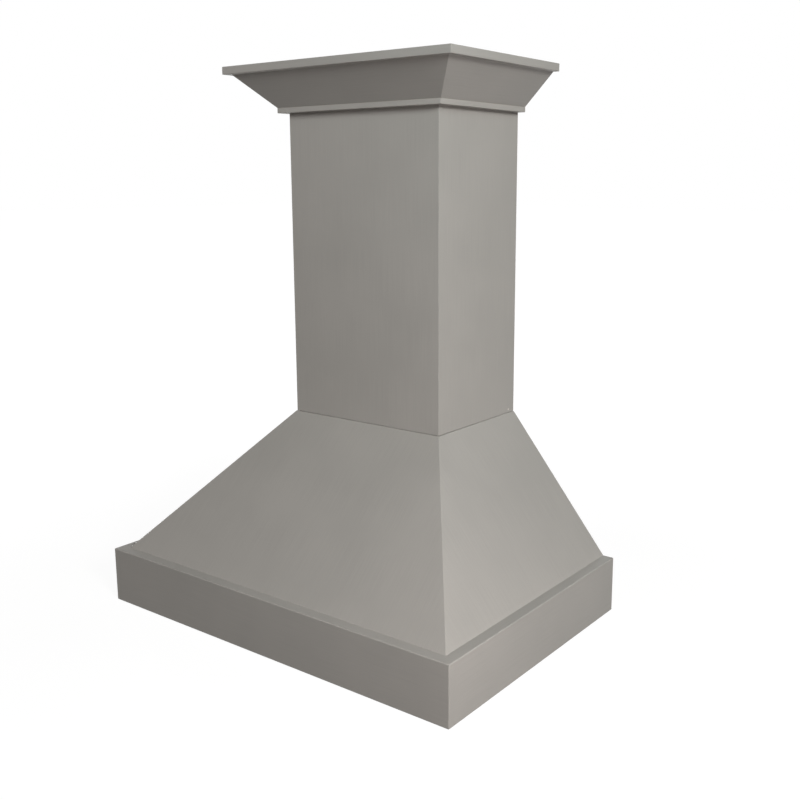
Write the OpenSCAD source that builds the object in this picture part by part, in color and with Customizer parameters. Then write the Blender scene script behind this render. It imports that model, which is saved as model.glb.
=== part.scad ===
// Painted wooden wall hood cover: a rectangular chimney on a hipped canopy, a flat apron below,
// a flat-sprung crown above, and a bevelled hanging cleat that holds it all to the wall.
// Millimetres. X runs along the wall, the wall is the plane Y = 0 and the front faces -Y.
// Z = 0 is the middle of the wall cleat's four stud screws.

/* [Hood] */
// Width across the apron
hood_w = 914; // [880:1:1070]
// Depth from the wall to the apron's front face
hood_d = 610; // [570:1:660]

/* [Apron] */
// Height of the apron boards
apron_h = 120; // [110:1:160]
// Thickness of the apron boards, which is the ledge round the canopy's foot
apron_t = 24; // [18:1:30]
// Leg of the triangular glue blocks in the apron's front corners
corner_leg = 40; // [25:1:60]
// Height at which those blocks stop above the apron's lower edge
corner_lift = 6; // [2:1:20]

/* [Canopy] */
// Height of the sloping canopy panels
canopy_rise = 290; // [270:1:360]
// Thickness of the canopy and chimney panels
panel_t = 18; // [15:1:20]
// Reveal of the canopy's top edge beyond the chimney's faces
canopy_reveal = 1.5; // [0:0.5:3]
// Thickness of the plate that closes the canopy's top round the duct
plate_t = 18; // [15:1:25]

/* [Chimney] */
// Width of the chimney
chimney_w = 396; // [350:1:440]
// Depth of the chimney from the wall
chimney_d = 286; // [260:1:320]
// Height of the chimney panels, from the canopy to the crown's cap
chimney_h = 730; // [500:1:1100]
// Height of the shadow rebate along the chimney's foot
rebate_h = 0.7; // [0.5:0.1:3]
// Depth of that rebate from the chimney's face
rebate_d = 2.5; // [2:0.5:8]
// Side of the square battens in the chimney's front corners
batten_w = 20; // [15:1:30]
// Height of the rails across the chimney's open back
back_rail_h = 80; // [60:1:120]

/* [Crown] */
// Height of the square bead under the frieze
bead_h = 11; // [8:1:20]
// Reach of the bead beyond the chimney's face
bead_reach = 18; // [15:1:25]
// Height of the slanting frieze boards
frieze_h = 67; // [55:1:90]
// Reach of the frieze's upper edge beyond the chimney's face
frieze_reach = 84; // [60:1:100]
// Gap between the frieze's foot and the chimney's face
frieze_gap = 1.2; // [0.5:0.1:4]
// Thickness of the flat cap boards
cap_t = 16; // [12:1:22]
// Overhang of the cap beyond the frieze's upper edge
cap_lip = 14; // [8:1:25]

/* [Frame] */
// Width of the base rails that carry the canopy's foot
base_rail_w = 32; // [30:1:40]
// Height of the base rails
base_rail_h = 40; // [34:1:50]
// Thickness of the boards that make the hidden frame
frame_t = 18; // [15:1:20]
// Height of the collar cleats inside the chimney's foot
collar_h = 40; // [30:1:60]
// Ledge of the top plate inside the front collar cleat, at the duct hole
duct_front_ledge = 7; // [6:1:20]
// Ledge of the top plate inside each side collar cleat, at the duct hole
duct_side_ledge = 32; // [20:1:40]
// Strip of the top plate behind the duct hole, along the wall
duct_back_ledge = 23; // [20:1:40]
// Glue line between the canopy panels and the bevelled pieces set inside them
glue_line = 0.1; // [0:0.05:0.5]

/* [Insert] */
// Thickness of the deck board that the blower insert is fixed to
deck_t = 18; // [12:1:22]
// Strip of the deck left on each side of its cut-out
insert_side = 71; // [63:1:120]
// Strip of the deck left in front of its cut-out
insert_front = 93; // [88:1:150]
// Strip of the deck left behind its cut-out, along the wall
insert_back = 93; // [80:1:120]
// Distance of the insert's screw holes from the cut-out's edges
insert_screw_edge = 18; // [12:1:20]
// Radius of the insert's screw holes
insert_hole_r = 2.5; // [2:0.1:3]

/* [Hanging] */
// Height of the wall screws' middle above the apron's top edge
hang_above = 80; // [70:1:100]
// Spacing of the studs in the wall
stud_spacing = 406.4; // [300:0.1:420]
// Spacing of the two rows of stud screws
stud_row_gap = 36; // [30:1:38]
// Radius of the holes for screws into the wall
stud_hole_r = 3.25; // [2.5:0.05:4]
// Thickness of the hanging cleat on the hood
cleat_t = 18; // [15:1:20]
// Height of the wall cleat at its front
wall_cleat_h = 80; // [76:1:90]
// Distance of the lower stud screws from the wall cleat's lower edge
wall_cleat_edge = 16; // [12:1:20]
// Clearance between the wall cleat and the pieces that hang on it
cleat_play = 0.3; // [0.2:0.05:0.6]
// Gap between the ends of the cleats and the canopy's side panels
cleat_end_gap = 4.5; // [2:0.5:20]
// Height of the rail that carries the hanging cleat
hanging_rail_h = 60; // [50:1:80]
// Distance of that rail above the wall cleat
hanging_rail_gap = 2; // [1:0.5:5]
// Spacing of the screws through the chimney's upper back rail
upper_spacing = 254; // [150:1:300]

/* [Screws] */
// Radius of the wood screws
screw_r = 2; // [1.5:0.1:2.5]
// Radius of the countersunk heads
head_r = 4; // [3.5:0.1:5]
// Radius of the small heads on the chimney's sides
trim_head_r = 2.6; // [2.5:0.1:4]
// How far each screw bites into the piece behind the one that its head sits in
screw_bite = 12; // [8:1:12]
// Radial clearance between a screw and its hole
screw_fit = 0.1; // [0.05:0.05:0.2]
// Distance of the chimney's side screws from the wall
side_screw_y = 21; // [14:1:60]
// Distance of the chimney's side screws above its foot
side_screw_z = 8; // [7:1:20]

/* [Hidden] */
$fn = 48;

// Colours
paint_colour = [0.62, 0.61, 0.58];
ply_colour = [0.84, 0.72, 0.54];
timber_colour = [0.80, 0.64, 0.44];
steel_colour = [0.72, 0.72, 0.70];
cover_colour = [0.70, 0.69, 0.66];

// How far a cut runs past the face that it opens
overrun = 1;

// Heights, from the apron's lower edge to the crown's cap
canopy_foot_z = -hang_above;
foot_z = canopy_foot_z - apron_h;
canopy_top_z = canopy_foot_z + canopy_rise;
chimney_top_z = canopy_top_z + chimney_h;
frieze_z = chimney_top_z - frieze_h;
bead_z = frieze_z - bead_h;
plate_z = canopy_top_z - plate_t;
base_rail_z = canopy_foot_z - base_rail_h;
deck_z = base_rail_z - deck_t;

// Plans, each as half the width and the whole depth from the wall
apron_plan = [hood_w / 2, hood_d];
apron_inner_plan = apron_plan - [apron_t, apron_t];
chimney_plan = [chimney_w / 2, chimney_d];
chimney_inner_plan = chimney_plan - [panel_t, panel_t];
collar_inner_plan = chimney_inner_plan - [frame_t, frame_t];
canopy_top_plan = chimney_plan + [canopy_reveal, canopy_reveal];

// The canopy's slopes: how far each face runs in over its height, and how thick a panel is level
canopy_run = apron_inner_plan - canopy_top_plan;
canopy_level_t = [for (run = canopy_run) panel_t * norm([run, canopy_rise]) / canopy_rise];
function canopy_plan(z) = apron_inner_plan - canopy_run * (z - canopy_foot_z) / canopy_rise;
function canopy_inner_plan(z) = canopy_plan(z) - canopy_level_t;

// The crown's plans: the bead, the frieze's upper edge and the cap
bead_plan = chimney_plan + [bead_reach, bead_reach];
frieze_top_plan = chimney_plan + [frieze_reach, frieze_reach];
cap_plan = frieze_top_plan + [cap_lip, cap_lip];
// The frieze's foot fills the bead's top but for its gap to the chimney
frieze_level_t = bead_reach - frieze_gap;
frieze_foot_inner_plan = bead_plan - [frieze_level_t, frieze_level_t];
frieze_top_inner_plan = frieze_top_plan - [frieze_level_t, frieze_level_t];

// The cleats' bevel is at 45 degrees, so it is as high as the cleat is thick
wall_cleat_t = cleat_t - cleat_play;
wall_cleat_z = -stud_row_gap / 2 - wall_cleat_edge;
wall_cleat_top_z = wall_cleat_z + wall_cleat_h;
wall_cleat_back_z = wall_cleat_top_z - wall_cleat_t;
hanging_rail_z = wall_cleat_top_z + hanging_rail_gap;
hanging_top_z = hanging_rail_z + hanging_rail_h;
hanging_cleat_back_z = wall_cleat_back_z + cleat_play;
cleat_half_l = canopy_inner_plan(hanging_top_z)[0] - cleat_end_gap;

// Screws: depth of each kind of head, its drive recess, the point and the lengths
head_h = 2.6;
trim_head_h = 1.6;
drive_r = 1.3;
drive_h = 1.2;
point_h = 5;
deck_screw_l = deck_t + screw_bite;
base_screw_l = base_rail_w + screw_bite;
hanging_screw_l = cleat_t + screw_bite;
collar_screw_l = collar_h + screw_bite;
side_screw_l = panel_t + screw_bite;

// Places of the screws and blocks, as shares of the piece that carries them
deck_row_shares = [-0.72, -0.24, 0.24, 0.72];
deck_side_shares = [0.3, 0.7];
base_row_shares = [-0.84, -0.48, 0, 0.48, 0.84];
base_side_shares = [0.15, 0.5, 0.85];
hanging_row_shares = [-0.85, -0.5, -0.17, 0.17, 0.5, 0.85];
collar_row_shares = [-0.6, 0.6];
collar_side_shares = [0.35, 0.8];
collar_across_share = 0.3;
crown_row_shares = [-0.7, 0, 0.7];
crown_side_shares = [0.25, 0.75];

// Directions in which a screw can be driven from its head
drive_up = [180, 0, 0];
drive_down = [0, 0, 0];
drive_to_front = [-90, 0, 0];
drive_to_left = [0, 90, 0];
drive_to_right = [0, -90, 0];

// Plan of a front board that is mitred at both ends, between an outer and an inner plan
function front_section(outer, inner) = [
    [-outer[0], -outer[1]], [outer[0], -outer[1]], [inner[0], -inner[1]], [-inner[0], -inner[1]]
];
// Plan of a right-hand board, mitred at the front and square at the wall
function right_section(outer, inner) = [
    [inner[0], -inner[1]], [outer[0], -outer[1]], [outer[0], 0], [inner[0], 0]
];
// The whole of a plan, from the wall to its front
function whole_section(plan) = [[-plan[0], -plan[1]], [plan[0], -plan[1]], [plan[0], 0], [-plan[0], 0]];

// Straight board with the plan given, standing from z to z + h
module board(section, z, h) {
    translate([0, 0, z]) linear_extrude(h) polygon(section);
}

// Solid between a lower and an upper plan with the same number of corners
module tapered(lower, upper, z, h) {
    n = len(lower);
    polyhedron(
        points = concat([for (p = lower) [p[0], p[1], z]], [for (p = upper) [p[0], p[1], z + h]]),
        faces = concat(
            [[for (i = [0:n - 1]) i]],
            [[for (i = [n - 1:-1:0]) n + i]],
            [for (i = [0:n - 1]) [i, n + i, n + (i + 1) % n, (i + 1) % n]]
        )
    );
}

// Box given by its limits, one pair for each axis
module box(x, y, z) {
    translate([x[0], y[0], z[0]]) cube([x[1] - x[0], y[1] - y[0], z[1] - z[0]]);
}

module left_hand() {
    mirror([1, 0, 0]) children();
}

module both_hands() {
    children();
    left_hand() children();
}

// Screws and their holes point down from a head that is level with Z = 0
module wood_screw(length, head, head_depth) {
    difference() {
        union() {
            translate([0, 0, -head_depth]) cylinder(h = head_depth, r1 = screw_r, r2 = head);
            translate([0, 0, point_h - length]) cylinder(h = length - point_h - head_depth, r = screw_r);
            translate([0, 0, -length]) cylinder(h = point_h, r1 = 0, r2 = screw_r);
        }
        translate([0, 0, -drive_h]) cylinder(h = drive_h + overrun, r = drive_r, $fn = 6);
    }
}

module screw_hole(length, head, head_depth) {
    depth = length + screw_fit;
    translate([0, 0, -head_depth]) {
        cylinder(h = head_depth, r1 = screw_r + screw_fit, r2 = head + screw_fit);
    }
    cylinder(h = overrun, r = head + screw_fit);
    translate([0, 0, -depth]) cylinder(h = depth, r = screw_r + screw_fit);
}

// Straight hole through a board along Y, from the wall side
module wall_hole(depth) {
    translate([0, overrun, 0]) rotate([90, 0, 0]) cylinder(h = depth + 2 * overrun, r = stud_hole_r);
}

// Places of each kind of fastener

module at_deck_screws() {
    row_y = [-apron_inner_plan[1] + base_rail_w / 2, -frame_t / 2];
    for (share = deck_row_shares, y = row_y) {
        translate([share * apron_inner_plan[0], y, deck_z]) rotate(drive_up) children();
    }
    for (side = [-1, 1], share = deck_side_shares) {
        translate([side * (apron_inner_plan[0] - base_rail_w / 2), -share * apron_inner_plan[1], deck_z]) {
            rotate(drive_up) children();
        }
    }
}

module at_base_screws() {
    z = base_rail_z + base_rail_h / 2;
    for (share = base_row_shares) {
        translate([share * apron_inner_plan[0], base_rail_w - apron_inner_plan[1], z]) {
            rotate(drive_to_front) children();
        }
    }
    for (share = base_side_shares) {
        y = -share * apron_inner_plan[1];
        translate([apron_inner_plan[0] - base_rail_w, y, z]) rotate(drive_to_right) children();
        translate([base_rail_w - apron_inner_plan[0], y, z]) rotate(drive_to_left) children();
    }
}

module at_hanging_screws() {
    z = hanging_rail_z + hanging_rail_h / 2;
    for (share = hanging_row_shares) {
        translate([share * cleat_half_l, 0, z]) rotate(drive_to_front) children();
    }
}

module at_collar_screws() {
    across = collar_across_share * frame_t;
    z = canopy_top_z + collar_h;
    for (share = collar_row_shares) {
        translate([share * chimney_inner_plan[0], -collar_inner_plan[1] - across, z]) children();
    }
    for (side = [-1, 1], share = collar_side_shares) {
        translate([side * (collar_inner_plan[0] + across), -share * collar_inner_plan[1], z]) children();
    }
}

module at_side_screws() {
    z = canopy_top_z + side_screw_z;
    translate([chimney_plan[0], -side_screw_y, z]) rotate(drive_to_left) children();
    translate([-chimney_plan[0], -side_screw_y, z]) rotate(drive_to_right) children();
}

module at_stud_columns() {
    for (side = [-1, 1]) translate([side * stud_spacing / 2, 0, 0]) children();
}

module deck_screw_holes() {
    at_deck_screws() screw_hole(deck_screw_l, head_r, head_h);
}

module base_screw_holes() {
    at_base_screws() screw_hole(base_screw_l, head_r, head_h);
}

module hanging_screw_holes() {
    at_hanging_screws() screw_hole(hanging_screw_l, head_r, head_h);
}

module collar_screw_holes() {
    at_collar_screws() screw_hole(collar_screw_l, head_r, head_h);
}

module side_screw_holes() {
    at_side_screws() screw_hole(side_screw_l, trim_head_r, trim_head_h);
}

// Wall side

module wall_cleat() {
    color(timber_colour) difference() {
        rotate([90, 0, 90]) linear_extrude(2 * cleat_half_l, center = true) polygon([
            [0, wall_cleat_z], [0, wall_cleat_back_z],
            [-wall_cleat_t, wall_cleat_top_z], [-wall_cleat_t, wall_cleat_z]
        ]);
        at_stud_columns() {
            for (row = [-1, 1]) translate([0, 0, row * stud_row_gap / 2]) wall_hole(wall_cleat_t);
        }
    }
}

// Apron

module apron_front_board() {
    color(paint_colour) difference() {
        board(front_section(apron_plan, apron_inner_plan), foot_z, apron_h);
        base_screw_holes();
    }
}

module apron_right_board() {
    color(paint_colour) difference() {
        board(right_section(apron_plan, apron_inner_plan), foot_z, apron_h);
        base_screw_holes();
    }
}

module apron_left_board() {
    left_hand() apron_right_board();
}

module apron_corner_blocks() {
    corner = [apron_inner_plan[0], -apron_inner_plan[1]];
    z = foot_z + corner_lift;
    color(timber_colour) both_hands() {
        board([corner - [corner_leg, 0], corner, corner + [0, corner_leg]], z, deck_z - z);
    }
}

// Base frame and deck

module base_front_rail() {
    color(timber_colour) difference() {
        box(
            [-apron_inner_plan[0], apron_inner_plan[0]],
            [-apron_inner_plan[1], base_rail_w - apron_inner_plan[1]],
            [base_rail_z, canopy_foot_z]
        );
        base_screw_holes();
        deck_screw_holes();
    }
}

module base_right_rail() {
    color(timber_colour) difference() {
        box(
            [apron_inner_plan[0] - base_rail_w, apron_inner_plan[0]],
            [base_rail_w - apron_inner_plan[1], -frame_t],
            [base_rail_z, canopy_foot_z]
        );
        base_screw_holes();
        deck_screw_holes();
    }
}

module base_left_rail() {
    left_hand() base_right_rail();
}

module base_back_rail() {
    color(timber_colour) difference() {
        box([-apron_inner_plan[0], apron_inner_plan[0]], [-frame_t, 0], [base_rail_z, canopy_foot_z]);
        deck_screw_holes();
        at_stud_columns() translate([0, 0, base_rail_z + base_rail_h / 2]) wall_hole(frame_t);
    }
}

module deck_panel() {
    cut_x = apron_inner_plan[0] - insert_side;
    cut_y = [insert_front - apron_inner_plan[1], -insert_back];
    through_z = [deck_z - overrun, base_rail_z + overrun];
    color(ply_colour) difference() {
        box([-apron_inner_plan[0], apron_inner_plan[0]], [-apron_inner_plan[1], 0], [deck_z, base_rail_z]);
        box([-cut_x, cut_x], cut_y, through_z);
        for (x = [-1, 1] * (cut_x + insert_screw_edge)) {
            for (y = cut_y + [-insert_screw_edge, insert_screw_edge]) {
                translate([x, y, through_z[0]]) cylinder(h = through_z[1] - through_z[0], r = insert_hole_r);
            }
        }
        deck_screw_holes();
    }
}

// Canopy

module canopy_front_panel() {
    foot = front_section(canopy_plan(canopy_foot_z), canopy_inner_plan(canopy_foot_z));
    top = front_section(canopy_plan(canopy_top_z), canopy_inner_plan(canopy_top_z));
    color(paint_colour) tapered(foot, top, canopy_foot_z, canopy_rise);
}

module canopy_right_panel() {
    foot = right_section(canopy_plan(canopy_foot_z), canopy_inner_plan(canopy_foot_z));
    top = right_section(canopy_plan(canopy_top_z), canopy_inner_plan(canopy_top_z));
    color(paint_colour) tapered(foot, top, canopy_foot_z, canopy_rise);
}

module canopy_left_panel() {
    left_hand() canopy_right_panel();
}

module canopy_top_plate() {
    glue = [glue_line, glue_line];
    under = whole_section(canopy_inner_plan(plate_z) - glue);
    top = whole_section(canopy_inner_plan(canopy_top_z) - glue);
    hole_x = collar_inner_plan[0] - duct_side_ledge;
    hole_y = [duct_front_ledge - collar_inner_plan[1], -duct_back_ledge];
    color(ply_colour) difference() {
        tapered(under, top, plate_z, plate_t);
        box([-hole_x, hole_x], hole_y, [plate_z - overrun, canopy_top_z + overrun]);
        collar_screw_holes();
    }
}

// Hanging cleat and its rail

module hanging_cleat() {
    color(timber_colour) difference() {
        rotate([90, 0, 90]) linear_extrude(2 * cleat_half_l, center = true) polygon([
            [0, hanging_cleat_back_z], [0, hanging_top_z],
            [-cleat_t, hanging_top_z], [-cleat_t, hanging_cleat_back_z + cleat_t]
        ]);
        hanging_screw_holes();
    }
}

module hanging_rail() {
    foot_x = canopy_inner_plan(hanging_rail_z)[0] - glue_line;
    top_x = canopy_inner_plan(hanging_top_z)[0] - glue_line;
    color(timber_colour) difference() {
        translate([0, -cleat_t, 0]) rotate([90, 0, 0]) linear_extrude(frame_t) polygon([
            [-foot_x, hanging_rail_z], [foot_x, hanging_rail_z],
            [top_x, hanging_top_z], [-top_x, hanging_top_z]
        ]);
        hanging_screw_holes();
    }
}

// Collar inside the chimney's foot

module collar_front_cleat() {
    color(timber_colour) difference() {
        box(
            [-chimney_inner_plan[0], chimney_inner_plan[0]],
            [-chimney_inner_plan[1], -collar_inner_plan[1]],
            [canopy_top_z, canopy_top_z + collar_h]
        );
        collar_screw_holes();
    }
}

module collar_right_cleat() {
    color(timber_colour) difference() {
        box(
            [collar_inner_plan[0], chimney_inner_plan[0]],
            [-collar_inner_plan[1], 0],
            [canopy_top_z, canopy_top_z + collar_h]
        );
        collar_screw_holes();
        side_screw_holes();
    }
}

module collar_left_cleat() {
    left_hand() collar_right_cleat();
}

// Chimney

// Everything below the rebate's top and outside its depth, all round the chimney's foot
module foot_rebate() {
    outside = whole_section(chimney_plan + [overrun, overrun]);
    kept = whole_section(chimney_plan - [rebate_d, rebate_d]);
    difference() {
        board(outside, canopy_top_z - overrun, rebate_h + overrun);
        board(kept, canopy_top_z - 2 * overrun, rebate_h + 3 * overrun);
    }
}

module chimney_front_panel() {
    color(paint_colour) difference() {
        board(front_section(chimney_plan, chimney_inner_plan), canopy_top_z, chimney_h);
        foot_rebate();
    }
}

module chimney_right_panel() {
    color(paint_colour) difference() {
        board(right_section(chimney_plan, chimney_inner_plan), canopy_top_z, chimney_h);
        foot_rebate();
        side_screw_holes();
    }
}

module chimney_left_panel() {
    left_hand() chimney_right_panel();
}

module chimney_right_batten() {
    color(timber_colour) box(
        [chimney_inner_plan[0] - batten_w, chimney_inner_plan[0]],
        [-chimney_inner_plan[1], batten_w - chimney_inner_plan[1]],
        [canopy_top_z + collar_h, chimney_top_z]
    );
}

module chimney_left_batten() {
    left_hand() chimney_right_batten();
}

module chimney_lower_back_rail() {
    color(timber_colour) box(
        [-collar_inner_plan[0], collar_inner_plan[0]],
        [-frame_t, 0],
        [canopy_top_z, canopy_top_z + back_rail_h]
    );
}

module chimney_upper_back_rail() {
    color(timber_colour) difference() {
        box(
            [-chimney_inner_plan[0], chimney_inner_plan[0]],
            [-frame_t, 0],
            [chimney_top_z - back_rail_h, chimney_top_z]
        );
        for (side = [-1, 1]) {
            translate([side * upper_spacing / 2, 0, chimney_top_z - back_rail_h / 2]) wall_hole(frame_t);
        }
    }
}

// Crown

module crown_front_bead() {
    color(paint_colour) board(front_section(bead_plan, chimney_plan), bead_z, bead_h);
}

module crown_right_bead() {
    color(paint_colour) board(right_section(bead_plan, chimney_plan), bead_z, bead_h);
}

module crown_left_bead() {
    left_hand() crown_right_bead();
}

module crown_front_frieze() {
    foot = front_section(bead_plan, frieze_foot_inner_plan);
    top = front_section(frieze_top_plan, frieze_top_inner_plan);
    color(paint_colour) tapered(foot, top, frieze_z, frieze_h);
}

module crown_right_frieze() {
    foot = right_section(bead_plan, frieze_foot_inner_plan);
    top = right_section(frieze_top_plan, frieze_top_inner_plan);
    color(paint_colour) tapered(foot, top, frieze_z, frieze_h);
}

module crown_left_frieze() {
    left_hand() crown_right_frieze();
}

module crown_front_cap() {
    color(paint_colour) board(front_section(cap_plan, chimney_inner_plan), chimney_top_z, cap_t);
}

module crown_right_cap() {
    color(paint_colour) board(right_section(cap_plan, chimney_inner_plan), chimney_top_z, cap_t);
}

module crown_left_cap() {
    left_hand() crown_right_cap();
}

// Backing block between the chimney's face, the frieze and the cap, as seen along +X
module crown_block() {
    rotate([90, 0, 90]) linear_extrude(frame_t, center = true) polygon([
        [0, frieze_z], [0, chimney_top_z],
        [frieze_level_t - frieze_reach, chimney_top_z], [frieze_level_t - bead_reach, frieze_z]
    ]);
}

module crown_blocks() {
    color(timber_colour) {
        for (share = crown_row_shares) {
            translate([share * chimney_plan[0], -chimney_plan[1], 0]) crown_block();
        }
        both_hands() {
            for (share = crown_side_shares) {
                translate([chimney_plan[0], -share * chimney_plan[1], 0]) rotate([0, 0, 90]) crown_block();
            }
        }
    }
}

// Fasteners

module deck_screws() {
    color(steel_colour) at_deck_screws() wood_screw(deck_screw_l, head_r, head_h);
}

module base_frame_screws() {
    color(steel_colour) at_base_screws() wood_screw(base_screw_l, head_r, head_h);
}

module hanging_cleat_screws() {
    color(steel_colour) at_hanging_screws() wood_screw(hanging_screw_l, head_r, head_h);
}

module collar_screws() {
    color(steel_colour) at_collar_screws() wood_screw(collar_screw_l, head_r, head_h);
}

module chimney_screws() {
    color(cover_colour) at_side_screws() wood_screw(side_screw_l, trim_head_r, trim_head_h);
}

wall_cleat();
apron_front_board();
apron_left_board();
apron_right_board();
apron_corner_blocks();
base_front_rail();
base_left_rail();
base_right_rail();
base_back_rail();
deck_panel();
canopy_front_panel();
canopy_left_panel();
canopy_right_panel();
canopy_top_plate();
hanging_cleat();
hanging_rail();
collar_front_cleat();
collar_left_cleat();
collar_right_cleat();
chimney_front_panel();
chimney_left_panel();
chimney_right_panel();
chimney_left_batten();
chimney_right_batten();
chimney_lower_back_rail();
chimney_upper_back_rail();
crown_front_bead();
crown_left_bead();
crown_right_bead();
crown_front_frieze();
crown_left_frieze();
crown_right_frieze();
crown_front_cap();
crown_left_cap();
crown_right_cap();
crown_blocks();
deck_screws();
base_frame_screws();
hanging_cleat_screws();
collar_screws();
chimney_screws();
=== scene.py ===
"""A painted wooden hood cover: eased and painted boards, the raw wood inside, and a pale studio."""
import math

import bmesh
import bpy
from mathutils import Matrix, Vector


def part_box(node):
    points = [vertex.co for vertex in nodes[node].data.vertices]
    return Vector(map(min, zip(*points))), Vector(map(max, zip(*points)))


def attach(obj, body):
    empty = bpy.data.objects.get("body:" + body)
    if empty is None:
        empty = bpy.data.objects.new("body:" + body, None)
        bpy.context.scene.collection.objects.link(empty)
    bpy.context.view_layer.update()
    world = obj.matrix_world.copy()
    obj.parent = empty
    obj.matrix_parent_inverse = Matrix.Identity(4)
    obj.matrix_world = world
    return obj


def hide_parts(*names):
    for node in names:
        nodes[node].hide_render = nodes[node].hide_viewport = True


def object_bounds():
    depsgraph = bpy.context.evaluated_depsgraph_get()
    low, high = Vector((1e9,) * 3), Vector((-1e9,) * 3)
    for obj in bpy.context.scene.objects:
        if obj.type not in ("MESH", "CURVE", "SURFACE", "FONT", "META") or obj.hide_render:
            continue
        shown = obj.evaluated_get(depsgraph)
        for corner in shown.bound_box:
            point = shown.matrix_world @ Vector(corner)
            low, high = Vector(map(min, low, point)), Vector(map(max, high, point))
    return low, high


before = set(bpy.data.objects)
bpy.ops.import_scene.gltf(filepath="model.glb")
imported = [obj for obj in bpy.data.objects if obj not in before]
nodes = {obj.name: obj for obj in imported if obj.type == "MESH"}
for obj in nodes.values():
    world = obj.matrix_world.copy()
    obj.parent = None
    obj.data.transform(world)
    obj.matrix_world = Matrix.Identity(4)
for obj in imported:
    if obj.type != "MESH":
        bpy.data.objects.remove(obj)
cad_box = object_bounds()

MM = 0.001
RIGHT = Vector((1, 0, 0))
TO_WALL = Vector((0, 1, 0))
UP = Vector((0, 0, 1))
WHITE = (1, 1, 1, 1)
BLACK = (0, 0, 0, 1)


# Shader sums

def screen(red, green, blue):
    """A colour given as it looks on a screen, from 0 to 255, as the shader's linear one."""
    shares = [value / 255 for value in (red, green, blue)]
    return tuple(s / 12.92 if s <= 0.04045 else ((s + 0.055) / 1.055) ** 2.4 for s in shares) + (1,)


class Flow:
    """A shader value that can be used in sums."""

    def __init__(self, wiring, socket):
        self.wiring = wiring
        self.socket = socket

    def sum(self, operation, first, second):
        return self.wiring.node("ShaderNodeMath", {"operation": operation}, {0: first, 1: second})

    def __add__(self, other):
        return self.sum("ADD", self, other)

    def __sub__(self, other):
        return self.sum("SUBTRACT", self, other)

    def __rsub__(self, other):
        return self.sum("SUBTRACT", other, self)

    def __mul__(self, other):
        return self.sum("MULTIPLY", self, other)

    def __truediv__(self, other):
        return self.sum("DIVIDE", self, other)

    __radd__ = __add__
    __rmul__ = __mul__


class Wiring:
    """The shader nodes of a finish or of the studio's light while they are put together."""

    def __init__(self, tree):
        self.tree = tree

    def node(self, kind, settings=None, values=None, output=0):
        """Any node: its settings come first, then the values or links of its sockets."""
        made = self.tree.nodes.new(kind)
        for name, setting in (settings or {}).items():
            if name == "stops":
                self.set_stops(made.color_ramp, setting)
            else:
                setattr(made, name, setting)
        self.feed(made, values or {})
        return Flow(self, made.outputs[output])

    def feed(self, node, values):
        """Sets or links the sockets of a node, by name or number."""
        for key, value in values.items():
            if isinstance(value, Flow):
                self.tree.links.new(value.socket, node.inputs[key])
            else:
                node.inputs[key].default_value = value

    @staticmethod
    def set_stops(ramp, stops):
        """Gives a colour ramp its stops, each a place and a colour."""
        while len(ramp.elements) < len(stops):
            ramp.elements.new(1)
        for element, (place, colour) in zip(ramp.elements, stops):
            element.position = place
            element.color = colour

    def blend(self, share, first, second):
        """Colour that goes from the first to the second as share goes from 0 to 1."""
        values = {0: share, 6: first, 7: second}
        return self.node("ShaderNodeMix", {"data_type": "RGBA"}, values, output=2)

    def between(self, value, low, high, new_low=0.0, new_high=1.0):
        """Value carried smoothly from one range to another, and held at its ends."""
        values = {0: value, 1: low, 2: high, 3: new_low, 4: new_high}
        return self.node("ShaderNodeMapRange", {"interpolation_type": "SMOOTHSTEP"}, values)

    def seen(self):
        """1 for what the eye or a mirror looks at, and 0 for what only lights the piece."""
        rays = ("Is Camera Ray", "Is Glossy Ray", "Is Transmission Ray")
        return sum(self.node("ShaderNodeLightPath", output=ray) for ray in rays)


class Finish(Wiring):
    """A material while it is being mixed."""

    def __init__(self, name):
        self.material = bpy.data.materials.new(name)
        self.material.use_nodes = True
        super().__init__(self.material.node_tree)
        self.shader = self.tree.nodes["Principled BSDF"]

    def board_place(self, along=1, across=1, inward=1):
        """The place in the board's own frame, with each direction multiplied by a number."""
        place = self.node("ShaderNodeAttribute", {"attribute_name": "board"}, output="Vector")
        values = {0: place, 1: (along, across, inward)}
        return self.node("ShaderNodeVectorMath", {"operation": "MULTIPLY"}, values)

    def across(self):
        """How far a point lies across the grain, in metres."""
        return self.node("ShaderNodeSeparateXYZ", {}, {0: self.board_place()}, output=1)

    def depth(self):
        """How far a point lies in from the board's outer face, in metres."""
        return self.node("ShaderNodeSeparateXYZ", {}, {0: self.board_place()}, output=2)

    def own_place(self):
        """The place on a piece that has no board's frame."""
        return self.node("ShaderNodeTexCoord", output="Object")

    def noise(self, place, size, detail=2, roughness=0.5):
        """Soft noise from 0 to 1, whose lumps are as large as size in the place given."""
        values = {"Vector": place, "Scale": 1 / size, "Detail": detail, "Roughness": roughness}
        return self.node("ShaderNodeTexNoise", {}, values)

    def curve(self, operation, value, limit=1.0):
        """One value put through a Math node, such as its root or its share past a whole number."""
        return self.node("ShaderNodeMath", {"operation": operation}, {0: value, 1: limit})

    def bump(self, height, depth):
        """Surface relief in metres from a height of 0 to 1."""
        values = {"Height": height, "Distance": depth, "Strength": 1}
        return self.node("ShaderNodeBump", {}, values, output="Normal")

    def done(self, **values):
        """Feeds the shader's sockets, named with _ for a space, and gives the material."""
        self.feed(self.shader, {name.replace("_", " "): value for name, value in values.items()})
        return self.material


# Finishes: a small number for along draws a pattern out along the board

PAINT = screen(165, 163, 158)
PAINT_THIN = screen(172, 169, 164)
PAINT_DEEP = screen(159, 157, 152)
PAINT_EVENNESS = 0.45
PAINT_SHEEN = 0.12
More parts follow.
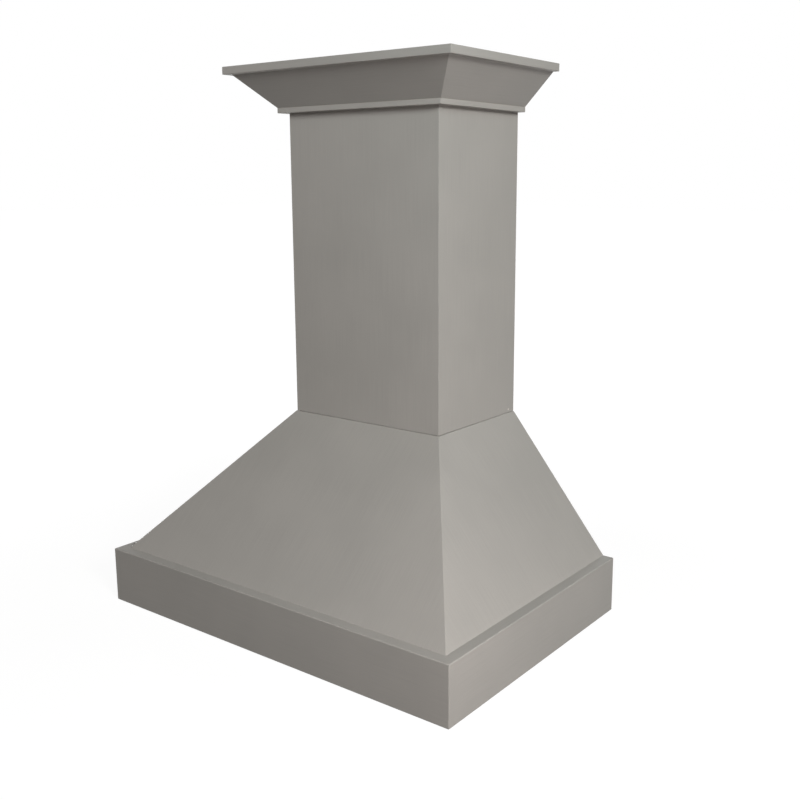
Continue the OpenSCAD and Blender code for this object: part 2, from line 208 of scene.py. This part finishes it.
# How deep sprayed paint runs over a board's bare edge, and how ragged its end is
OVERSPRAY = (3 * MM, 5 * MM)
OVERSPRAY_RAGGED = 5 * MM

TIMBER_EARLY = (216, 190, 150)
TIMBER_LATE = (194, 154, 108)
TIMBER_FIBRE = screen(176, 136, 94)
END_GRAIN = 0.86
RING_WIDTH = 3.6 * MM
RING_WAVER = 9 * MM
# Where the tree's heart lies from a board's middle line and face
HEART = (31 * MM, 47 * MM)

VENEER_PALE = screen(226, 204, 168)
VENEER_DARK = screen(212, 184, 144)
VENEER_PORE = screen(172, 136, 98)
FIGURE_BANDS = 9
PLY_LAYER = 18 * MM / 13
LAYER_PALE = screen(206, 174, 130)
LAYER_DARK = screen(170, 128, 86)
LAYER_GLUE = screen(92, 62, 40)
LAYER_FIBRE = screen(140, 102, 66)


def painted_wood(name):
    """Sprayed satin paint: the wood's grain and a fine stipple still show a little."""
    finish = Finish(name)
    cloud = finish.noise(finish.board_place(), 180 * MM)
    grain = finish.noise(finish.board_place(along=0.012), 1.6 * MM, 3, 0.6)
    stipple = finish.noise(finish.board_place(), 1.1 * MM)
    shade = finish.between(cloud * 0.5 + grain * 0.5, 0.3, 0.7)
    tone = finish.blend(shade, PAINT_DEEP, PAINT_THIN)
    tone = finish.blend(PAINT_EVENNESS, tone, PAINT)
    roughness = 0.36 + cloud * 0.1 + stipple * 0.06
    relief = finish.bump(grain * 0.6 + stipple * 0.4, 0.03 * MM)
    return finish.done(
        Base_Color=tone, Roughness=roughness, Normal=relief, Specular_IOR_Level=PAINT_SHEEN
    )


def overspray(finish, bare, bare_roughness, sprayed):
    """Paint that ran a little way over the bare wood of a board whose outer face is sprayed."""
    if not sprayed:
        return bare, bare_roughness
    ragged = finish.noise(finish.board_place(), 2.5 * MM, 3) * OVERSPRAY_RAGGED
    paint_share = finish.between(finish.depth() + ragged, *OVERSPRAY, 1, 0)
    return finish.blend(paint_share, bare, PAINT), bare_roughness - paint_share * 0.25


def growth_rings(finish, early, late):
    """Colour of solid wood, whose rings run round a heart that lies outside the board."""
    waver = finish.noise(finish.board_place(along=0.25), 60 * MM) * RING_WAVER
    aside, below = finish.across() + HEART[0], finish.depth() + HEART[1]
    radius = finish.curve("SQRT", aside * aside + below * below)
    turn = finish.curve("FRACT", (radius + waver) / RING_WIDTH)
    stops = [(0, early), (0.55, early), (0.9, late), (1, early)]
    return finish.node("ShaderNodeValToRGB", {"stops": stops}, {0: turn})


def raw_timber(name, darker=1.0, sprayed=False):
    """Planed softwood, darker where its end grain shows."""
    finish = Finish(name)
    early = screen(*(value * darker for value in TIMBER_EARLY))
    late = screen(*(value * darker for value in TIMBER_LATE))
    rings = growth_rings(finish, early, late)
    fibre = finish.noise(finish.board_place(along=0.01), 0.5 * MM, 3, 0.7)
    bare = finish.blend(finish.between(fibre, 0.4, 0.7, 0, 0.3), rings, TIMBER_FIBRE)
    tone, roughness = overspray(finish, bare, 0.66 + fibre * 0.14, sprayed)
    return finish.done(Base_Color=tone, Roughness=roughness, Normal=finish.bump(fibre, 0.06 * MM))


def raw_ply_face(name):
    """Rotary-cut birch veneer: pale, with nested soft figures and short fine pores."""
    finish = Finish(name)
    figure = finish.noise(finish.board_place(along=0.16, inward=0), 90 * MM, 3, 0.45)
    turn = finish.curve("PINGPONG", figure * FIGURE_BANDS)
    pores = finish.noise(finish.board_place(along=0.03, inward=0), 0.6 * MM, 2, 0.7)
    veneer = finish.blend(finish.between(turn, 0.1, 0.9), VENEER_PALE, VENEER_DARK)
    bare = finish.blend(finish.between(pores, 0.5, 0.75, 0, 0.35), veneer, VENEER_PORE)
    relief = finish.bump(pores, 0.04 * MM)
    return finish.done(Base_Color=bare, Roughness=0.62 + pores * 0.14, Normal=relief)


def raw_ply_edge(name, sprayed=False):
    """The plies in a cut edge: pale and dark layers by turns, with thin glue lines."""
    finish = Finish(name)
    layer = finish.depth() / PLY_LAYER
    pale_or_dark = finish.between(finish.curve("PINGPONG", layer), 0.3, 0.7)
    glue = finish.between(finish.curve("FRACT", layer), 0.0, 0.12, 1, 0)
    fibre = finish.noise(finish.board_place(along=0.15, across=0.15), 0.7 * MM, 3, 0.7)
    wood = finish.blend(pale_or_dark, LAYER_PALE, LAYER_DARK)
    wood = finish.blend(glue * 0.6, wood, LAYER_GLUE)
    wood = finish.blend(finish.between(fibre, 0.45, 0.75, 0, 0.4), wood, LAYER_FIBRE)
    tone, roughness = overspray(finish, wood, 0.75, sprayed)
    return finish.done(Base_Color=tone, Roughness=roughness, Normal=finish.bump(fibre, 0.08 * MM))


def zinc_steel(name):
    """Bright zinc-plated screws, seen from inside."""
    finish = Finish(name)
    patch = finish.noise(finish.own_place(), 1.5 * MM, 3)
    tone = finish.blend(patch, screen(196, 197, 194), screen(168, 166, 156))
    return finish.done(Base_Color=tone, Metallic=1.0, Roughness=0.28 + patch * 0.16)


def highlighted_head_paint(name):
    """Paint over the small heads on the chimney's sides, lighter than on the boards: a painted
    highlight that shows each head as a bright dot.
    """
    finish = Finish(name)
    dab = finish.noise(finish.own_place(), 1.2 * MM)
    # These colours are lighter than the boards' paint: a painted highlight on the heads
    tone = finish.blend(dab, screen(208, 204, 196), screen(198, 193, 185))
    relief = finish.bump(dab, 0.05 * MM)
    return finish.done(Base_Color=tone, Roughness=0.4 + dab * 0.12, Normal=relief)


PAINTED = painted_wood("painted_wood")
TIMBER = raw_timber("raw_timber")
TIMBER_END = raw_timber("raw_timber_end", END_GRAIN)
SPRAYED_END = raw_timber("sprayed_timber_end", END_GRAIN, sprayed=True)
PLY_FACE = raw_ply_face("ply_face")
PLY_EDGE = raw_ply_edge("ply_edge")
SPRAYED_EDGE = raw_ply_edge("sprayed_ply_edge", sprayed=True)
ZINC = zinc_steel("zinc_steel")
# The chimney's side heads get paint lighter than the boards', a painted highlight
HEAD_HIGHLIGHT = highlighted_head_paint("head_paint_highlight")

# Finishes of a painted board's outside, of its hidden faces and of its end at the wall
PLY_BOARDS = (PAINTED, PLY_FACE, SPRAYED_EDGE)
SOLID_BOARDS = (PAINTED, TIMBER, SPRAYED_END)
# Finishes of a bare board's faces and of its cut edges or ends
BARE_WOOD = {"plywood": (PLY_FACE, PLY_EDGE), "timber": (TIMBER, TIMBER_END)}


# Boards

# Sharpest turn that still counts as flat, least turn that is eased, and least one shaded as sharp
FLAT_TURN = math.radians(0.5)
ARRIS_TURN = math.radians(20)
SHARP_TURN = math.radians(40)
# Shortest edge that a maker eases, which leaves the rims of screw holes alone
SHORTEST_ARRIS = 10 * MM
ARRIS_STEPS = 3
BARE_ARRIS = 0.5 * MM
# Corners this close together are one, and corners this close to a cut lie on it
SAME_CORNER = 0.005 * MM
ON_CUT = 0.001 * MM
# Faces this close to a level or to the wall lie on it
TOUCH = 0.2 * MM
# Least part of its normal by which a face looks to the wall, up or down, aside, or lengthways
WALL_FACE = 0.5
LEVEL_FACE = 0.9
SIDE_FACE = 0.3
END_FACE = 0.7
# Step along the grain from one board's pattern to the next one's
BOARD_STEP = 1.7

SIDES = {"front": -TO_WALL, "left": -RIGHT, "right": RIGHT}
boards_made = []


def make_whole(board):
    """Merges a mesh's doubles and makes its flat faces whole."""
    bmesh.ops.remove_doubles(board, verts=board.verts, dist=SAME_CORNER)
    bmesh.ops.dissolve_limit(board, angle_limit=FLAT_TURN, verts=board.verts, edges=board.edges)


def clean_board(name):
    """A CAD board's mesh with its doubles merged and its flat faces whole."""
    board = bmesh.new()
    board.from_mesh(nodes[name].data)
    make_whole(board)
    return board


def join(boards):
    """One mesh of several boards, which are used up."""
    joined = bmesh.new()
    for board in boards:
        carrier = bpy.data.meshes.new("carrier")
        board.to_mesh(carrier)
        board.free()
        joined.from_mesh(carrier)
        bpy.data.meshes.remove(carrier)
    return joined


def open_mitres(ring):
    """Takes out the faces that meet in the mitres, and gives each mitre's place and way."""
    meeting = {}
    for face in ring.faces:
        key = tuple(round(value / MM, 1) for value in face.calc_center_median())
        meeting.setdefault(key, []).append(face)
    pairs = [faces for faces in meeting.values() if len(faces) == 2]
    mitres = []
    for face, _ in pairs:
        place, way = face.calc_center_median(), face.normal.copy()
        if way.x * place.x < 0:
            way.negate()
        mitres.append((place, way))
    bmesh.ops.delete(ring, geom=[face for pair in pairs for face in pair], context="FACES_ONLY")
    make_whole(ring)
    return mitres


def is_bare(face, covered):
    """Whether a ring's face is unpainted: inside, at the wall, or covered at one of the levels."""
    place = face.calc_center_median()
    inside = face.normal.y > WALL_FACE or face.normal.x * place.x < -SIDE_FACE * abs(place.x)
    level = abs(face.normal.z) > LEVEL_FACE
    return inside or any(level and abs(place.z - height) < TOUCH for height in covered)


def ease(work, edges, width):
    """Rounds the edges given over as a maker does with fine paper."""
    bmesh.ops.bevel(
        work, geom=edges, offset=width, offset_type="OFFSET", segments=ARRIS_STEPS,
        profile=0.5, affect="EDGES", clamp_overlap=True, material=-1,
    )


def arrises(work, wanted=lambda face: True):
    """The long outward edges between two faces that are both wanted."""
    return [
        edge for edge in work.edges
        if len(edge.link_faces) == 2 and edge.is_convex
        and edge.calc_face_angle() > ARRIS_TURN and edge.calc_length() > SHORTEST_ARRIS
        and all(wanted(face) for face in edge.link_faces)
    ]


def keep_side(work, place, way, beyond):
    """Cuts a closed mesh at a plane, keeps one side of it and closes the cut."""
    bmesh.ops.bisect_plane(
        work, geom=list(work.verts) + list(work.edges) + list(work.faces),
        plane_co=place, plane_no=way, dist=ON_CUT, clear_inner=beyond, clear_outer=not beyond,
    )
    rim = [edge for edge in work.edges if edge.is_boundary]
    bmesh.ops.edgeloop_fill(work, edges=rim, mat_nr=1)
    bmesh.ops.recalc_face_normals(work, faces=work.faces)


def place_board(work, name, along, out, finishes, replaced, body="hood"):
    """Makes the finished piece with its mesh, the grain's own frame and its finishes, hangs it on
    its body and hides the CAD node it stands in for.
    """
    mesh = bpy.data.meshes.new(name)
    work.to_mesh(mesh)
    work.free()
    for finish in finishes:
        mesh.materials.append(finish)
    mesh.shade_smooth()
    mesh.set_sharp_from_angle(angle=SHARP_TURN)
    face_level = max(vertex.co.dot(out) for vertex in mesh.vertices)
    across = out.cross(along)
    places = mesh.attributes.new("board", "FLOAT_VECTOR", "POINT")
    shift = BOARD_STEP * len(boards_made)
    for vertex, entry in zip(mesh.vertices, places.data):
        corner = vertex.co
        entry.vector = (corner.dot(along) + shift, corner.dot(across), face_level - corner.dot(out))
    piece = bpy.data.objects.new(name, mesh)
    bpy.context.scene.collection.objects.link(piece)
    steady = piece.modifiers.new("steady_shading", "WEIGHTED_NORMAL")
    steady.keep_sharp = True
    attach(piece, body)
    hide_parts(replaced)
    boards_made.append(piece)


def outer_way(work, toward):
    """Direction of the largest face that looks the way given."""
    facing = [face for face in work.faces if face.normal.dot(toward) > SIDE_FACE]
    return max(facing, key=lambda face: face.calc_area()).normal.copy()


def ring_of_boards(name, parts, arris, finishes, upright=False, covered=(), sharp_under=False):
    """Front, left and right board that meet in mitres: eased as one, then parted there again."""
    ring = join([clean_board(part) for part in parts])
    mitres = open_mitres(ring)
    for face in ring.faces:
        at_wall = face.normal.y > WALL_FACE and face.calc_center_median().y > -TOUCH
        face.material_index = 2 if at_wall else int(is_bare(face, covered))

    def is_eased(face):
        return face.material_index == 0 and not (sharp_under and face.normal.z <= -LEVEL_FACE)

    ease(ring, arrises(ring, is_eased), arris)
    for (side, toward), part in zip(SIDES.items(), parts):
        board = ring.copy()
        for place, way in mitres:
            if side == "front":
                keep_side(board, place, way, beyond=False)
            elif place.x * toward.x > 0:
                keep_side(board, place, way, beyond=True)
        out = outer_way(board, toward)
        if upright:
            along = (UP - out * UP.dot(out)).normalized()
        else:
            along = RIGHT if side == "front" else TO_WALL
        place_board(board, f"{name}_{side}", along, out, finishes, part)
    ring.free()


def bare_board(node, name, slot, along=None, body="hood"):
    """A hidden piece of bare wood, with its grain along its length."""
    low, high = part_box(node)
    span = high - low
    thinnest, _, longest = sorted(range(3), key=lambda axis: span[axis])
    ways = (RIGHT, TO_WALL, UP)
    along = along or ways[longest]
    out = ways[thinnest]
    work = clean_board(node)
    ease(work, arrises(work), BARE_ARRIS)
    for face in work.faces:
        if slot == "plywood":
            face.material_index = int(abs(face.normal.dot(out)) < END_FACE)
        else:
            face.material_index = int(abs(face.normal.dot(along)) > END_FACE)
    place_board(work, name, along, out, BARE_WOOD[slot], node, body)


def three(stem, kind):
    """Names of a ring's front, left and right CAD board."""
    return [f"{stem}_{side}_{kind}" for side in SIDES]


def foot_and_top(node):
    """Heights of a CAD node's lowest and highest point."""
    return [corner.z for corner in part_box(node)]


def make_painted_boards():
    canopy = three("canopy", "panel")
    chimney = three("chimney", "panel")
    frieze = three("crown", "frieze")
    canopy_foot = foot_and_top(canopy[0])[:1]
    ring_of_boards("apron", three("apron", "board"), 2.2 * MM, SOLID_BOARDS)
    ring_of_boards("canopy", canopy, 0.9 * MM, PLY_BOARDS, upright=True, covered=canopy_foot)
    ring_of_boards(
        "chimney", chimney, 0.9 * MM, PLY_BOARDS,
        upright=True, covered=foot_and_top(chimney[0]), sharp_under=True,
    )
    ring_of_boards("bead", three("crown", "bead"), 0.8 * MM, SOLID_BOARDS)
    ring_of_boards("frieze", frieze, 0.8 * MM, SOLID_BOARDS, covered=foot_and_top(frieze[0]))
    ring_of_boards("cap", three("crown", "cap"), 1.2 * MM, SOLID_BOARDS)


def make_bare_boards():
    bare_board("wall_cleat", "wall_cleat_board", "timber", body="wall_side")
    for node in (
        "base_front_rail", "base_left_rail", "base_right_rail", "base_back_rail",
        "hanging_cleat", "hanging_rail",
        "collar_front_cleat", "collar_left_cleat", "collar_right_cleat",
        "chimney_left_batten", "chimney_right_batten",
        "chimney_lower_back_rail", "chimney_upper_back_rail",
    ):
        bare_board(node, f"{node}_board", "timber")
    for node in ("apron_corner_blocks", "crown_blocks"):
        bare_board(node, f"{node}_set", "timber", along=UP)
    for node in ("deck_panel", "canopy_top_plate"):
        bare_board(node, f"{node}_board", "plywood")


def finish_screws():
    """The screws keep their CAD shape and get their own finish."""
    for name, node in nodes.items():
        if name.endswith("_screws"):
            node.data.materials.clear()
            # The chimney's side heads take the lighter paint, a painted highlight; the other screws
            # are zinc
            node.data.materials.append(HEAD_HIGHLIGHT if name == "chimney_screws" else ZINC)


# Studio

FLOOR_SIZE = 60.0
# The floor lies this far under the piece, so that the two don't share a level
FLOOR_GAP = 1 * MM
# How much of the floor's light comes back to the piece, and how dark its shadow can be to the eye
FLOOR_COLOUR = (0.12, 0.12, 0.12, 1)
FLOOR_GLOW = 0.93
# Distances from the piece between which the floor's shade fades to plain white
SHADE_FADE = (0.6, 2.2)

# Strength of the even light that comes from all round
WORLD_LIGHT = 0.05

# Each softbox: turn from the front towards the right and height above level in degrees,
# distance in metres, side in metres, power in watts and colour
SOFTBOXES = {
    "far_key": (65, 22, 5.0, 1.0, 147, (1, 0.98, 0.96)),
    "near_high": (44, 41, 1.5, 0.5, 3.2, (0.79, 0.97, 1)),
    "near_low": (60, 0, 1.2, 0.6, 3.4, (1, 0.88, 0.87)),
    "left_fill": (-53, 18, 5.0, 1.0, 57, (1, 0.92, 0.9)),
    "right_fill": (135, 30, 5.0, 1.0, 24, (0.94, 0.99, 1)),
    "side_fill": (-106, -5, 4.0, 0.3, 60, (1, 1, 1)),
    "back_fill": (185, 2, 4.0, 0.8, 50, (1, 1, 1)),
}
# The place that all the softboxes face
AIM = Vector((0, -0.3, 0.3))

# The photograph's viewpoint, in metres, degrees and millimetres, and in shares of the picture
CAMERA_PLACE = Vector((1.3584, -1.8759, 0.7172))
CAMERA_TURN = 37.041
CAMERA_DIP = 11.149
CAMERA_TILT = -0.123
CAMERA_SENSOR = 36
CAMERA_LENS = 44.907
CAMERA_SHIFT = (-0.0286, -0.0266)


def make_floor():
    """White floor that keeps a soft shadow close to the hood cover, and is clear from below."""
    foot = Vector((0, (cad_box[0].y + cad_box[1].y) / 2, cad_box[0].z - FLOOR_GAP))
    ground = bmesh.new()
    bmesh.ops.create_grid(ground, x_segments=1, y_segments=1, size=FLOOR_SIZE / 2)
    bmesh.ops.translate(ground, verts=ground.verts, vec=(0, 0, foot.z))
    mesh = bpy.data.meshes.new("floor")
    ground.to_mesh(mesh)
    ground.free()
    finish = Finish("white_floor")
    values = {0: finish.own_place(), 1: foot}
    reach = finish.node("ShaderNodeVectorMath", {"operation": "DISTANCE"}, values, output="Value")
    glow = finish.between(reach, *SHADE_FADE, FLOOR_GLOW, 1)
    shown = finish.blend(glow * finish.seen(), BLACK, WHITE)
    finish.done(
        Base_Color=FLOOR_COLOUR, Roughness=0.9, Specular_IOR_Level=0.0,
        Emission_Color=shown, Emission_Strength=1,
    )
    below = finish.node("ShaderNodeNewGeometry", output="Backfacing")
    clear = finish.node("ShaderNodeBsdfTransparent")
    lit = Flow(finish, finish.shader.outputs[0])
    mixed = finish.node("ShaderNodeMixShader", {}, {0: below, 1: lit, 2: clear})
    finish.feed(finish.tree.nodes["Material Output"], {"Surface": mixed})
    mesh.materials.append(finish.material)
    floor = bpy.data.objects.new("floor", mesh)
    bpy.context.scene.collection.objects.link(floor)


def make_world():
    """Even dim light all round, which the eye and mirrors see as plain white."""
    world = bpy.data.worlds.new("studio")
    bpy.context.scene.world = world
    world.use_nodes = True
    light = Wiring(world.node_tree)
    room = light.node("ShaderNodeBackground", {}, {"Color": WHITE, "Strength": WORLD_LIGHT})
    backdrop = light.node("ShaderNodeBackground", {}, {"Color": WHITE})
    mixed = light.node("ShaderNodeMixShader", {}, {0: light.seen(), 1: room, 2: backdrop})
    light.feed(world.node_tree.nodes["World Output"], {"Surface": mixed})


def make_softboxes():
    for name, (turn, rise, distance, side, power, colour) in SOFTBOXES.items():
        lamp = bpy.data.lights.new(name, "AREA")
        lamp.shape = "SQUARE"
        lamp.size = side
        lamp.energy = power
        lamp.color = colour
        holder = bpy.data.objects.new(name, lamp)
        bpy.context.scene.collection.objects.link(holder)
        turn, rise = math.radians(turn), math.radians(rise)
        level = math.cos(rise)
        way = Vector((math.sin(turn) * level, -math.cos(turn) * level, math.sin(rise)))
        holder.location = AIM + way * distance
        holder.rotation_euler = way.to_track_quat("Z", "Y").to_euler()
        holder.visible_camera = False


def make_camera():
    camera = bpy.data.cameras.new("camera")
    camera.sensor_width = CAMERA_SENSOR
    camera.lens = CAMERA_LENS
    camera.shift_x, camera.shift_y = CAMERA_SHIFT
    holder = bpy.data.objects.new("camera", camera)
    bpy.context.scene.collection.objects.link(holder)
    turn = Matrix.Rotation(math.radians(CAMERA_TURN), 4, "Z")
    dip = Matrix.Rotation(math.radians(90 - CAMERA_DIP), 4, "X")
    tilt = Matrix.Rotation(math.radians(CAMERA_TILT), 4, "Z")
    holder.matrix_world = Matrix.Translation(CAMERA_PLACE) @ turn @ dip @ tilt
    bpy.context.scene.camera = holder


make_camera()
make_floor()
make_world()
make_softboxes()
make_painted_boards()
make_bare_boards()
finish_screws()
bpy.context.scene.view_settings.view_transform = "Standard"
